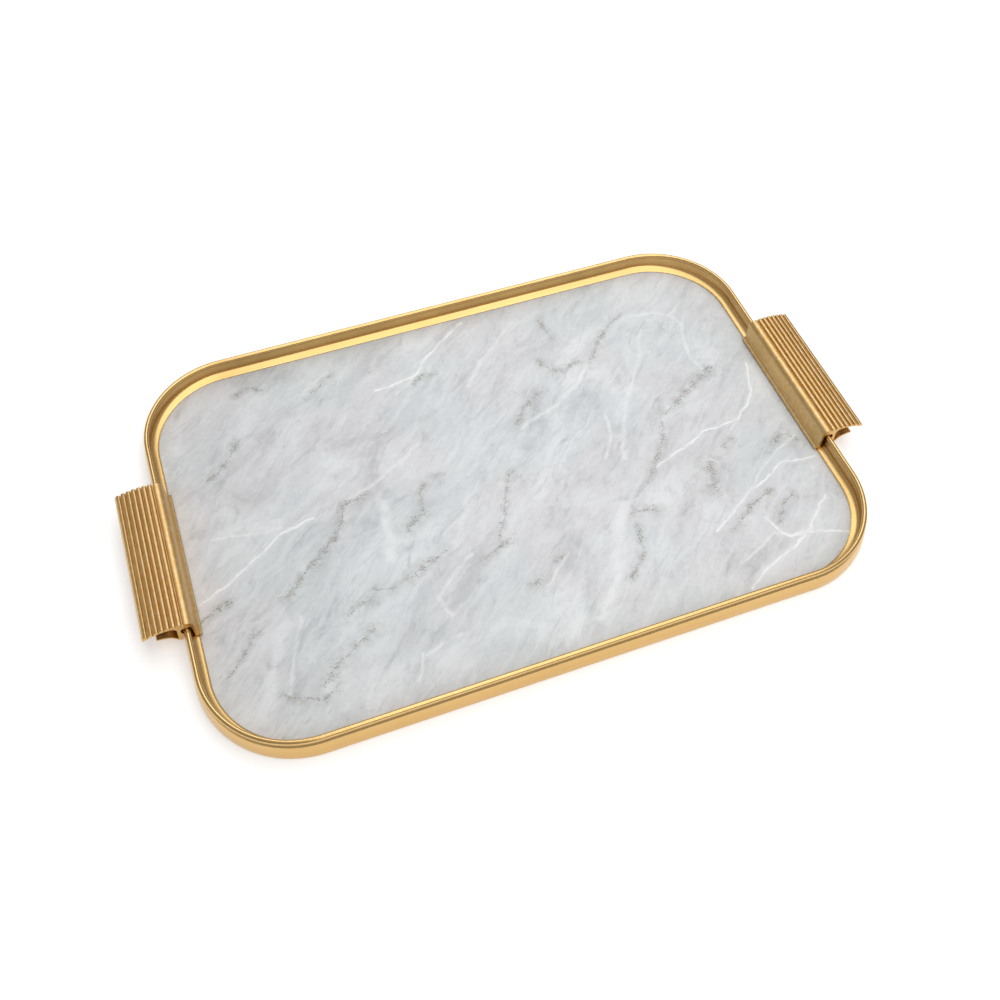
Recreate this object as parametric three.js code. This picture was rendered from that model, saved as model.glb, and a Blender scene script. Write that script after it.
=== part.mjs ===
// Dresser vanity tray: a laminated board held in a bent aluminium rim, with two ribbed
// extruded handles that slide over the rim and cover the two joints of its halves.
// Millimetres, +Z up. The origin is on the resting plane, under the centre of the tray.
// Front is -Y, and the two handles are at -X and +X.

import * as THREE from 'three';

// ---- Driving dimensions -------------------------------------------------------------

// Sight edge: the line where the rim's lip ends on the board. All sections start there.
const SIGHT_HALF_LENGTH = 208.8;
const SIGHT_HALF_WIDTH = 139.4;
const SIGHT_CORNER_RADIUS = 53.4;
const CORNER_SEGMENTS = 14;

// Board: three bonded layers, from the backing up.
const BOARD_TOP = 4.0;
const LAMINATE_THICKNESS = 0.55;
const CORE_THICKNESS = 2.0;
const BOARD_TUCK = 6.4; // how far the board runs past the sight edge, into the rim's slot

// Rim: one section, bent to two halves that face each other under the handles.
const RIM_FLANGE = 0.8; // thickness of the flange below the board
const RIM_FLANGE_REACH = 0.6; // inner end of that flange, out from the sight edge
const RIM_SLOT_DEPTH = 7.0;
const RIM_SLOT_TOP = BOARD_TOP + 0.15;
const RIM_LIP_EDGE = 0.5; // thickness of the lip at the sight edge
const RIM_WALL_INNER = 4.4;
const RIM_OUTER = 9.4;
const RIM_JOINT_GAP = 0.4;
const CHAMBER_INNER = 5.6; // hollow inside the rim's wall, which takes the joining keys
const CHAMBER_FLOOR = 5.6;
const BEAD_RADIUS = 1.65;
const BEAD_CENTRE_OUT = 5.5;
const BEAD_CENTRE_UP = 15.6;

// Joining key: a steel strip in the hollow of the rim, across each joint of its halves.
const KEY_LENGTH = 70;
const KEY_THICKNESS = 0.8;
const KEY_HEIGHT = 4.4;
const KEY_CLEARANCE = 0.3;

// Handle: one ribbed section, cut to length and pressed over the rim.
const HANDLE_LENGTH = 106;
const HANDLE_SLIDE_LEFT = -1.0; // each handle sits a little forward of the middle
const HANDLE_SLIDE_RIGHT = -2.2;
const LEG_INNER = 0.6; // tray side of the leg that stands on the lip
const LEG_OUTER = 2.5;
const LEG_TOP = 18.0;
const ROLL_RADIUS = 4.4; // round over the top of the leg
const SEAT_UP = 17.65; // underside of the cover, just clear of the bead
const WING_TIP = 31.3;
const CREST_RADIUS = 52; // arch of the rib tops
const CREST_APEX_OUT = 12.5;
const CREST_APEX_UP = 23.1;
const BELLY_RADIUS = 33; // arch of the wing's plain underside
const BELLY_APEX_OUT = 15;
const BELLY_APEX_UP = 20.6;
const RIB_COUNT = 7;
const RIB_PITCH = 3.43;
const FIRST_GROOVE = 6.8;
const GROOVE_DEPTH = 1.2;
const GROOVE_HALF_WIDTH = 0.9;
const GROOVE_FLOOR_HALF = 0.28;
const RIB_ROUND = 0.4; // width of the round on each side of a rib's top
const RIB_ROUND_DROP = 0.3;
const WEB_OUTER = 11.1;
const WEB_FILLET = 3.5; // round between the web and the wing
const SCROLL_THICKNESS = 1.1; // lower curved flange that the fingers close on

// ---- Materials ----------------------------------------------------------------------

const goldAnodised = new THREE.MeshStandardMaterial({ color: 0xd9ab5f, metalness: 1, roughness: 0.32 });
const marbleLaminate = new THREE.MeshStandardMaterial({ color: 0xd9dbdd, metalness: 0, roughness: 0.3 });
const hardboard = new THREE.MeshStandardMaterial({ color: 0x8a6a4a, metalness: 0, roughness: 0.85 });
const platedSteel = new THREE.MeshStandardMaterial({ color: 0x9a9b9c, metalness: 1, roughness: 0.4 });
const backingSheet = new THREE.MeshStandardMaterial({ color: 0xe8e6e0, metalness: 0, roughness: 0.5 });

// ---- Helpers ------------------------------------------------------------------------

/** A named piece of the tray. */
function piece(name, geometry, material) {
  const mesh = new THREE.Mesh(geometry, material);
  mesh.name = name;
  return mesh;
}

/** A circular arc as points, from one angle to another in degrees, both ends included. */
function arcPoints(centre, radius, fromDegrees, toDegrees, segments) {
  const points = [];
  for (let i = 0; i <= segments; i += 1) {
    const angle = THREE.MathUtils.degToRad(fromDegrees + ((toDegrees - fromDegrees) * i) / segments);
    points.push(new THREE.Vector2(centre.x + radius * Math.cos(angle), centre.y + radius * Math.sin(angle)));
  }
  return points;
}

/** The points of a list of [out, up] pairs. */
function corners(...pairs) {
  return pairs.map(([out, up]) => new THREE.Vector2(out, up));
}

// ---- Board --------------------------------------------------------------------------

/** The board's plan, a rectangle with four round corners. */
function boardOutline() {
  const halfLength = SIGHT_HALF_LENGTH + BOARD_TUCK;
  const halfWidth = SIGHT_HALF_WIDTH + BOARD_TUCK;
  const radius = SIGHT_CORNER_RADIUS + BOARD_TUCK;
  const x = halfLength - radius;
  const y = halfWidth - radius;
  const outline = new THREE.Shape();
  outline.moveTo(halfLength, -y);
  outline.lineTo(halfLength, y);
  outline.absarc(x, y, radius, 0, Math.PI / 2);
  outline.absarc(-x, y, radius, Math.PI / 2, Math.PI);
  outline.absarc(-x, -y, radius, Math.PI, 1.5 * Math.PI);
  outline.absarc(x, -y, radius, 1.5 * Math.PI, 2 * Math.PI);
  return outline;
}

/** One layer of the board, standing on the height given. */
function boardLayer(name, bottom, thickness, material) {
  const settings = { depth: thickness, bevelEnabled: false, curveSegments: CORNER_SEGMENTS };
  const layer = piece(name, new THREE.ExtrudeGeometry(boardOutline(), settings), material);
  layer.position.z = bottom;
  return layer;
}

// ---- Rim ----------------------------------------------------------------------------

/** The path of one rim half along the sight edge, with stations only where it bends. */
class RimPath extends THREE.Curve {
  constructor() {
    super();
    this.stations = [];
    const x = SIGHT_HALF_LENGTH - SIGHT_CORNER_RADIUS;
    const y = SIGHT_HALF_WIDTH - SIGHT_CORNER_RADIUS;
    this.addStation(SIGHT_HALF_LENGTH, -RIM_JOINT_GAP / 2, 0);
    this.addBend(x, -y, 0);
    this.addBend(-x, -y, -90);
    this.addStation(-SIGHT_HALF_LENGTH, -RIM_JOINT_GAP / 2, -180);
  }

  /** A place on the path, with the direction that points out of the tray, in degrees. */
  addStation(x, y, outwardDegrees) {
    const angle = THREE.MathUtils.degToRad(outwardDegrees);
    const outward = new THREE.Vector3(Math.cos(angle), Math.sin(angle), 0);
    this.stations.push({ point: new THREE.Vector3(x, y, 0), outward });
  }

  /** A quarter bend about a corner centre, clockwise from the direction given. */
  addBend(centreX, centreY, fromDegrees) {
    for (let i = 0; i <= CORNER_SEGMENTS; i += 1) {
      const degrees = fromDegrees - (90 * i) / CORNER_SEGMENTS;
      const angle = THREE.MathUtils.degToRad(degrees);
      const x = centreX + SIGHT_CORNER_RADIUS * Math.cos(angle);
      const y = centreY + SIGHT_CORNER_RADIUS * Math.sin(angle);
      this.addStation(x, y, degrees);
    }
  }

  getPointAt(fraction) {
    return this.stations[Math.round(fraction * (this.stations.length - 1))].point.clone();
  }

  computeFrenetFrames() {
    const up = new THREE.Vector3(0, 0, 1);
    return {
      tangents: this.stations.map(({ outward }) => outward.clone().cross(up)),
      normals: this.stations.map(({ outward }) => outward.clone()),
      binormals: this.stations.map(() => up.clone()),
    };
  }
}

/** The rim's section: x is out from the sight edge, y is up from the resting plane. */
function rimSection() {
  const bead = new THREE.Vector2(BEAD_CENTRE_OUT, BEAD_CENTRE_UP);
  const foot = new THREE.Vector2(RIM_OUTER - 1, 1);
  const section = new THREE.Shape([
    ...corners([0, RIM_SLOT_TOP], [RIM_SLOT_DEPTH, RIM_SLOT_TOP], [RIM_SLOT_DEPTH, RIM_FLANGE]),
    ...corners([RIM_FLANGE_REACH, RIM_FLANGE], [RIM_FLANGE_REACH, 0.2], [RIM_FLANGE_REACH + 0.2, 0]),
    ...arcPoints(foot, 1, -90, 0, 3),
    // Outside face: it leans in as it rises, to the shoulder under the groove.
    ...corners([RIM_OUTER, 3], [9.0, 6.6], [8.2, 9.8], [7.5, 12.0], [6.8, 12.9], [6.4, 13.5]),
    // Groove below the bead, then the bead itself.
    ...arcPoints(bead, BEAD_RADIUS, -60, 235, 12),
    ...corners([4.6, 13.7], [RIM_WALL_INNER, 7.2]),
    // Lip: a cove from the wall down to the thin edge on the board.
    ...corners([4.1, 6.6], [3.3, 6.1], [2.0, 5.45], [0.9, 5.0], [0.25, RIM_SLOT_TOP + RIM_LIP_EDGE]),
    ...corners([0, RIM_SLOT_TOP + RIM_LIP_EDGE - 0.2]),
  ]);
  section.holes.push(new THREE.Path([
    ...corners([CHAMBER_INNER, CHAMBER_FLOOR], [CHAMBER_INNER, 11.6], [6.5, 11.6]),
    ...corners([6.95, 10.6], [7.3, CHAMBER_FLOOR]),
  ]));
  return section;
}

/** One half of the rim, bent round two corners of the board. */
function rimHalf(name) {
  const path = new RimPath();
  const settings = { steps: path.stations.length - 1, bevelEnabled: false, extrudePath: path };
  return piece(name, new THREE.ExtrudeGeometry(rimSection(), settings), goldAnodised);
}

/** A steel strip inside the rim, across the joint on the side given as +1 or -1. */
function joiningKey(name, side) {
  const strip = piece(name, new THREE.BoxGeometry(KEY_THICKNESS, KEY_LENGTH, KEY_HEIGHT), platedSteel);
  const out = CHAMBER_INNER + KEY_CLEARANCE + KEY_THICKNESS / 2;
  strip.position.set(side * (SIGHT_HALF_LENGTH + out), 0, CHAMBER_FLOOR + KEY_CLEARANCE + KEY_HEIGHT / 2);
  return strip;
}

// ---- Handles ------------------------------------------------------------------------

/** Height of an arch at a place along the section. */
function archHeight(out, apexOut, apexUp, radius) {
  return apexUp - radius + Math.sqrt(radius ** 2 - (out - apexOut) ** 2);
}

/** A point on the arch of the rib tops, lowered by the drop given. */
function crestPoint(out, drop = 0) {
  return new THREE.Vector2(out, archHeight(out, CREST_APEX_OUT, CREST_APEX_UP, CREST_RADIUS) - drop);
}

/** The ribbed top of the wing, outwards: each groove, then the round rib beyond it. */
function ribbedTop() {
  const points = [];
  for (let rib = 0; rib < RIB_COUNT; rib += 1) {
    const groove = FIRST_GROOVE + rib * RIB_PITCH;
    const next = groove + RIB_PITCH;
    points.push(crestPoint(groove - GROOVE_FLOOR_HALF, GROOVE_DEPTH));
    points.push(crestPoint(groove + GROOVE_FLOOR_HALF, GROOVE_DEPTH));
    points.push(crestPoint(groove + GROOVE_HALF_WIDTH, RIB_ROUND_DROP));
    points.push(crestPoint(groove + GROOVE_HALF_WIDTH + RIB_ROUND));
    points.push(crestPoint(next - GROOVE_HALF_WIDTH - RIB_ROUND));
    points.push(crestPoint(next - GROOVE_HALF_WIDTH, RIB_ROUND_DROP));
  }
  return points;
}

/** The wing's plain underside, from the web's fillet out to the tip. */
function belly() {
  const segments = 7;
  const start = WEB_OUTER + WEB_FILLET;
  const points = [];
  for (let i = 0; i <= segments; i += 1) {
    const out = start + ((WING_TIP - 0.7 - start) * i) / segments;
    points.push(new THREE.Vector2(out, archHeight(out, BELLY_APEX_OUT, BELLY_APEX_UP, BELLY_RADIUS)));
  }
  return points;
}

/** The scroll: a flange that leaves the web's foot and sweeps out and up below the wing. */
function scroll() {
  const route = new THREE.CatmullRomCurve3([
    new THREE.Vector3(WEB_OUTER - 0.9, 6.4, 0),
    new THREE.Vector3(12.5, 8.1, 0),
    new THREE.Vector3(14.4, 10.6, 0),
    new THREE.Vector3(17.0, 12.2, 0),
    new THREE.Vector3(20.2, 13.1, 0),
    new THREE.Vector3(23.3, 13.4, 0),
  ]);
  const upper = [];
  const lower = [];
  const segments = 10;
  for (let i = 0; i <= segments; i += 1) {
    const at = route.getPointAt(i / segments);
    const side = route.getTangentAt(i / segments).multiplyScalar(SCROLL_THICKNESS / 2);
    upper.push(new THREE.Vector2(at.x - side.y, at.y + side.x));
    lower.push(new THREE.Vector2(at.x + side.y, at.y - side.x));
  }
  // The upper side starts where it clears the web.
  return [...lower, ...upper.reverse().filter((point) => point.x > WEB_OUTER + 0.3)];
}

/** The handle's section: x is out from the sight edge, y is up from the resting plane. */
function handleSection() {
  const roll = new THREE.Vector2(LEG_INNER + ROLL_RADIUS, LEG_TOP);
  const fillet = new THREE.Vector2(WEB_OUTER + WEB_FILLET, BELLY_APEX_UP - WEB_FILLET);
  return new THREE.Shape([
    // Inside of the leg, the seat over the bead, and the web that hugs the rim's outer wall.
    ...corners([LEG_OUTER, 5.9], [LEG_OUTER, SEAT_UP - 1], [LEG_OUTER + 1, SEAT_UP], [7.3, SEAT_UP]),
    ...corners([9.1, 16.6], [9.2, 13.4], [7.95, 12.3], [8.6, 9.8], [9.35, 6.9], [9.75, 6.0]),
    ...scroll(),
    ...arcPoints(fillet, WEB_FILLET, 180, 96, 5),
    ...belly(),
    ...corners([WING_TIP, 17.4], [WING_TIP + 0.1, 18.2]),
    ...ribbedTop().reverse(),
    // Smooth round over the top, down the leg to the toe that overhangs the board.
    ...arcPoints(roll, ROLL_RADIUS, 78, 180, 8),
    ...corners([LEG_INNER, 8.6], [0.2, 7.2], [-0.6, 6.5], [-1.5, 6.1], [-1.75, 5.6], [-1.6, 4.7]),
    ...corners([-0.4, 4.95]),
  ]);
}

/** A handle on one short side: its turn about Z, and how far along +Y it sits. */
function handle(name, turn, slide) {
  const settings = { depth: HANDLE_LENGTH, bevelEnabled: false };
  const bar = piece(name, new THREE.ExtrudeGeometry(handleSection(), settings), goldAnodised);
  bar.rotation.x = Math.PI / 2;
  bar.position.set(SIGHT_HALF_LENGTH, HANDLE_LENGTH / 2, 0);
  const side = new THREE.Group();
  side.rotation.z = turn;
  side.position.y = slide;
  side.add(bar);
  return side;
}

// ---- Assembly -----------------------------------------------------------------------

const backingBottom = BOARD_TOP - CORE_THICKNESS - 2 * LAMINATE_THICKNESS;
const coreBottom = backingBottom + LAMINATE_THICKNESS;
const topBottom = BOARD_TOP - LAMINATE_THICKNESS;

const tray = new THREE.Group();
tray.add(boardLayer('backing_laminate', backingBottom, LAMINATE_THICKNESS, backingSheet));
tray.add(boardLayer('board_core', coreBottom, CORE_THICKNESS, hardboard));
tray.add(boardLayer('marble_laminate', topBottom, LAMINATE_THICKNESS, marbleLaminate));

const rimFront = rimHalf('rim_front');
const rimRear = rimHalf('rim_rear');
rimRear.rotation.z = Math.PI;
tray.add(rimFront, rimRear);

tray.add(joiningKey('joint_key_right', 1), joiningKey('joint_key_left', -1));
tray.add(handle('handle_right', 0, HANDLE_SLIDE_RIGHT));
tray.add(handle('handle_left', Math.PI, HANDLE_SLIDE_LEFT));

export default tray;
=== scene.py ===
"""Dresser vanity tray, visual model: a marble-look board in a bent gold rim with two ribbed handles.

Sizes in the classes are millimetres, as on a drawing, and become metres when a piece is made.
The origin is on the resting plane under the centre of the tray, front is -Y and +Z is up.
Sections are drawn as (out, up): out from the sight edge, where the rim's lip ends on the board.
"""

import logging
import math
from dataclasses import dataclass, field
from enum import Enum
from typing import Callable, Iterable, Sequence

import bmesh
import bpy
from bmesh.types import BMEdge, BMesh, BMFace, BMVert
from bpy.types import Material, Node, NodeSocket, NodeTree, Object
from mathutils import Matrix, Vector
from mathutils.geometry import interpolate_bezier


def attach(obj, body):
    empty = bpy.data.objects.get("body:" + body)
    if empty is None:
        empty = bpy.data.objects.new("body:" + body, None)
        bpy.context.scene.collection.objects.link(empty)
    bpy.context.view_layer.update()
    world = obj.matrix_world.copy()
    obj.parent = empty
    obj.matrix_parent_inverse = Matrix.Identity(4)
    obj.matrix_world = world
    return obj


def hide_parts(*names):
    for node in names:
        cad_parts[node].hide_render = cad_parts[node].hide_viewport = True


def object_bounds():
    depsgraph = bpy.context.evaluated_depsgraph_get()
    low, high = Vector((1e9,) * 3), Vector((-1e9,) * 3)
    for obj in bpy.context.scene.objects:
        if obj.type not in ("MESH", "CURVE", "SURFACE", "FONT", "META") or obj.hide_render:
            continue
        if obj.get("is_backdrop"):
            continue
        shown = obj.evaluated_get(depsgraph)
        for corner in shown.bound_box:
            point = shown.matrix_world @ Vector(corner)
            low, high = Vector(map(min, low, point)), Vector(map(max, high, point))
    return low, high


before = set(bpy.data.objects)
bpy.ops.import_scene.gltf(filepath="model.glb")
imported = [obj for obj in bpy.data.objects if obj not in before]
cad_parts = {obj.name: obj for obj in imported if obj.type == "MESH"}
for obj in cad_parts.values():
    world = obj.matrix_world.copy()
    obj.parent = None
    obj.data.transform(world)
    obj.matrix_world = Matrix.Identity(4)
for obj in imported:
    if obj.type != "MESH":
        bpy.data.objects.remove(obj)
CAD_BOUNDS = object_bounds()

LOG = logging.getLogger("vanity_tray")

MM = 0.001
TO_MM = 1000.0
BODY = "root"
EXTRUSION = "extrusion"  # attribute: where a point is along, out from and up an extruded section, in mm
EDGE = "edge"  # attribute: how far a corner of a face lies on an outward edge, 0 to 1

Point = tuple[float, float]


class Side(Enum):
    """The short side of the tray that a handle or a key is on."""

    LEFT = -1
    RIGHT = 1


class Half(Enum):
    """The half of the rim, with its turn about Z in degrees."""

    FRONT = 0
    REAR = 180


class Slot(Enum):
    """The finishes of the tray's pieces."""

    MARBLE = "marble"
    CORE = "core"
    BACKING = "backing"
    RIM = "rim_gold"
    HANDLE = "handle_gold"
    KEY = "key_steel"


class VeinKind(Enum):
    """The kinds of line in the printed marble."""

    WHITE = "white"
    FAINT = "faint"
    DARK = "dark"


# ---- Sections -----------------------------------------------------------------------


@dataclass
class Section:
    """A closed outline, built point by point as (out, up) in mm."""

    points: list[Point] = field(default_factory=list)

    def corners(self, *pairs: Point) -> "Section":
        """Adds plain corners."""
        self.points.extend(pairs)
        return self

    def arc(self, centre: Point, radius: float, start: float, end: float, segments: int) -> "Section":
        """Adds an arc.

        Args:
            centre: the arc's centre.
            radius: its radius.
            start: the angle of its first point, in degrees from the out direction.
            end: the angle of its last point.
            segments: the number of flats that stand for it.

        Returns:
            The section, for the next stretch.
        """
        for i in range(segments + 1):
            angle = math.radians(start + (end - start) * i / segments)
            self.points.append((centre[0] + radius * math.cos(angle), centre[1] + radius * math.sin(angle)))
        return self

    def curve(self, first: Point, lead: Point, trail: Point, last: Point, segments: int) -> "Section":
        """Adds a smooth stretch between two points.

        Args:
            first: where the stretch starts.
            lead: the handle that it leaves towards.
            trail: the handle that it arrives from.
            last: where it ends.
            segments: the number of flats that stand for it.

        Returns:
            The section, for the next stretch.
        """
        knots = [Vector((*p, 0.0)) for p in (first, lead, trail, last)]
        stretch = interpolate_bezier(*knots, segments + 1)
        self.points.extend((p.x, p.y) for p in stretch)
        return self


# ---- Mesh helpers -------------------------------------------------------------------


def ring(bm: BMesh, points: Sequence[Point], place: Callable[[float, float], Vector]) -> list[BMEdge]:
    """Lays a closed outline into a bmesh.

    Args:
        bm: the bmesh.
        points: the outline as (out, up) in mm.
        place: turns out and up into a place in the bmesh.

    Returns:
        The outline's edges, in order.
    """
    verts = [bm.verts.new(place(out, up)) for out, up in points]
    return [bm.edges.new((verts[i - 1], verts[i])) for i in range(len(verts))]


def of_type(geometry: Iterable, kind: type) -> list:
    """The parts of a bmesh operator's result that are of one kind."""
    return [item for item in geometry if isinstance(item, kind)]


def shade_by_angle(bm: BMesh, degrees: float = 28.0) -> None:
    """Shades every face smooth and keeps the sharper edges crisp.

    Args:
        bm: the bmesh.
        degrees: the turn above which an edge stays crisp.
    """
    for face in bm.faces:
        face.smooth = True
    for edge in bm.edges:
        edge.smooth = edge.calc_face_angle(math.pi) < math.radians(degrees)


def mark_edges(bm: BMesh, caps: set[BMFace], full_turn: float = 40.0) -> None:
    """Writes the edge attribute, from how sharply the surface turns outwards at each corner.

    Args:
        bm: the closed bmesh.
        caps: faces that stay unmarked, such as sawn ends.
        full_turn: the turn in degrees that counts as a full edge.
    """
    layer = bm.loops.layers.float.new(EDGE)
    turns: dict[BMVert, float] = {}
    for vert in bm.verts:
        convex = [e.calc_face_angle_signed(0.0) for e in vert.link_edges if e.is_convex]
        turns[vert] = min(max(convex, default=0.0) / math.radians(full_turn), 1.0)
    for face in bm.faces:
        for loop in face.loops:
            loop[layer] = 0.0 if face in caps else turns[loop.vert]


def mark_extrusion(bm: BMesh, unroll: Callable[[Vector], Vector]) -> None:
    """Writes the extrusion attribute of each vertex.

    Args:
        bm: the bmesh, in metres.
        unroll: turns a place in mm into along, out and up, in mm.
    """
    layer = bm.verts.layers.float_vector.new(EXTRUSION)
    for vert in bm.verts:
        vert[layer] = unroll(vert.co * TO_MM)


def make_piece(bm: BMesh, name: str, node: str, slot: Slot, material: Material) -> Object:
    """Turns a finished bmesh into a piece of the tray.

    Args:
        bm: the bmesh, in metres and in its place. It is freed.
        name: the piece's name.
        node: the CAD node that it stands for.
        slot: its finish in the record.
        material: its material.

    Returns:
        The piece, riding on the tray.
    """
    mesh = bpy.data.meshes.new(name)
    bm.to_mesh(mesh)
    bm.free()
    mesh.materials.append(material)
    piece = bpy.data.objects.new(name, mesh)
    bpy.context.scene.collection.objects.link(piece)
    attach(piece, BODY)
    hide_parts(node)
    LOG.info("%s stands for %s: %d faces, %s", name, node, len(mesh.polygons), material.name)
    return piece


def round_edges(bm: BMesh, edges: list[BMEdge], radius: float, segments: int) -> None:
    """Rounds edges.

    Args:
        bm: the bmesh, in metres.
        edges: the edges to round.
        radius: the radius in mm.
        segments: the flats across each round.
    """
    bmesh.ops.bevel(
        bm,
        geom=edges,
        offset=radius * MM,
        offset_type="OFFSET",
        segments=segments,
        profile=0.5,
        affect="EDGES",
        material=-1,
    )


def rounded_plate(size: Vector, centre: Vector, corner: float, corner_segments: int, ease: float) -> BMesh:
    """A flat plate with round corners in plan and eased edges.

    Args:
        size: its length, width and thickness in mm.
        centre: its middle in mm.
        corner: the radius of its plan corners in mm.
        corner_segments: the flats in each of those corners.
        ease: how far its long edges are broken, in mm.

    Returns:
        The plate's bmesh, in metres.
    """
    bm = bmesh.new()
    bmesh.ops.create_cube(bm, size=1.0)
    bmesh.ops.scale(bm, vec=size * MM, verts=bm.verts)
    bmesh.ops.translate(bm, vec=centre * MM, verts=bm.verts)
    upright = [e for e in bm.edges if abs(e.verts[0].co.z - e.verts[1].co.z) > 0.5 * size.z * MM]
    round_edges(bm, upright, corner, corner_segments)
    around = [e for e in bm.edges if any(abs(f.normal.z) > 0.5 for f in e.link_faces)]
    round_edges(bm, around, ease, 2)
    bmesh.ops.recalc_face_normals(bm, faces=bm.faces)
    shade_by_angle(bm)
    return bm


# ---- Node helpers -------------------------------------------------------------------

Value = NodeSocket | float | Sequence[float]


@dataclass
class Graph:
    """Adds nodes to a node tree, each fed by sockets or plain values."""

    tree: NodeTree

    def add(self, kind: str, inputs: dict[str | int, Value] | None = None, **settings: object) -> Node:
        """Adds a node.

        Args:
            kind: the node's type.
            inputs: what feeds its sockets, by name or number.
            settings: the node's own properties.

        Returns:
            The node.
        """
        node = self.tree.nodes.new(kind)
        for name, value in settings.items():
            setattr(node, name, value)
        for key, value in (inputs or {}).items():
            self.feed(node.inputs[key], value)
        return node

    def feed(self, socket: NodeSocket, value: Value) -> None:
        """Feeds a socket.

        Args:
            socket: the input socket.
            value: the socket that it is linked to, or the plain value that it is set to.
        """
        if isinstance(value, NodeSocket):
            self.tree.links.new(value, socket)
        else:
            socket.default_value = value

    def math(self, operation: str, first: Value, second: Value = 0.0, clamp: bool = False) -> NodeSocket:
        """One arithmetic step."""
        settings = {"operation": operation, "use_clamp": clamp}
        return self.add("ShaderNodeMath", {0: first, 1: second}, **settings).outputs[0]

    def vector(self, operation: str, first: Value, second: Value = (0.0, 0.0, 0.0)) -> NodeSocket:
        """One vector step with a vector result."""
        return self.add("ShaderNodeVectorMath", {0: first, 1: second}, operation=operation).outputs[0]

    def dot(self, first: Value, second: Value) -> NodeSocket:
        """The dot product of two vectors."""
        node = self.add("ShaderNodeVectorMath", {0: first, 1: second}, operation="DOT_PRODUCT")
        return node.outputs["Value"]

    def scaled(self, vector: Value, factor: Value) -> NodeSocket:
        """A vector times a number."""
        return self.add("ShaderNodeVectorMath", {0: vector, "Scale": factor}, operation="SCALE").outputs[0]

    def noise(
        self,
        vector: Value,
        scale: float,
        detail: float = 4.0,
        roughness: float = 0.55,
        distortion: float = 0.0,
    ) -> Node:
        """A noise texture.

        Args:
            vector: the place that it is read at.
            scale: features per unit of the vector.
            detail: the number of finer layers on top.
            roughness: how strong the finer layers are.
            distortion: how far the features are pushed about.

        Returns:
            The texture node.
        """
        inputs = {"Vector": vector, "Scale": scale, "Detail": detail}
        inputs.update({"Roughness": roughness, "Distortion": distortion})
        return self.add("ShaderNodeTexNoise", inputs)

    def remap(
        self, value: Value, low: float, high: float, to_low: Value = 0.0, to_high: Value = 1.0
    ) -> NodeSocket:
        """Moves a value smoothly from one range to another, held at the ends."""
        inputs = {"Value": value, "From Min": low, "From Max": high, "To Min": to_low, "To Max": to_high}
        return self.add("ShaderNodeMapRange", inputs, interpolation_type="SMOOTHSTEP").outputs[0]

    def blend(self, factor: Value, first: Value, second: Value) -> NodeSocket:
        """Mixes two colours.

        Args:
            factor: the share of the second colour.
            first: the colour where the factor is nothing.
            second: the colour where it is one.

        Returns:
            The mixed colour.
        """
        node = self.add("ShaderNodeMix", data_type="RGBA")
        self.feed(node.inputs[0], factor)
        self.feed(node.inputs[6], first)
        self.feed(node.inputs[7], second)
        return node.outputs[2]

    def tinted(self, colour: Value, mask: Value, amount: float, tint: Value) -> NodeSocket:
        """A colour mixed with a tint where a mask says, by up to an amount."""
        return self.blend(self.math("MULTIPLY", mask, amount), colour, tint)

    def group(self, tree: NodeTree, inputs: dict[str | int, Value]) -> Node:
        """Places a node group.

        Args:
            tree: the group.
            inputs: what feeds its sockets, by name.

        Returns:
            The group's node.
        """
        node = self.tree.nodes.new("ShaderNodeGroup")
        node.node_tree = tree
        for key, value in inputs.items():
            self.feed(node.inputs[key], value)
        return node


def new_group(
    name: str, inputs: dict[str, tuple[str, Value]], outputs: dict[str, str]
) -> tuple[Graph, Node, Node]:
    """Starts a shader node group.

    Args:
        name: the group's name.
        inputs: for each input, its socket type and default.
        outputs: for each output, its socket type.

    Returns:
        The group's graph, its input node and its output node.
    """
    tree = bpy.data.node_groups.new(name, "ShaderNodeTree")
    for label, (kind, default) in inputs.items():
        socket = tree.interface.new_socket(name=label, in_out="INPUT", socket_type=kind)
        socket.default_value = default
    for label, kind in outputs.items():
        tree.interface.new_socket(name=label, in_out="OUTPUT", socket_type=kind)
    graph = Graph(tree)
    return graph, graph.add("NodeGroupInput"), graph.add("NodeGroupOutput")


def new_material(name: str) -> tuple[Material, Graph, Node]:
    """Starts a material with one Principled shader.

    Args:
        name: the material's name.

    Returns:
        The material, its graph and its shader node.
    """
    material = bpy.data.materials.new(name)
    material.use_nodes = True
    graph = Graph(material.node_tree)
    return material, graph, material.node_tree.nodes["Principled BSDF"]


# ---- Shared effects -----------------------------------------------------------------

ZERO = (0.0, 0.0, 0.0)
HALF = (0.5, 0.5, 0.5)
FLAT = (1.0, 1.0, 0.0)
UP = (0.0, 0.0, 1.0)
FAR = 99.0  # a distance, in half widths, that no stroke is as far as


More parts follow.
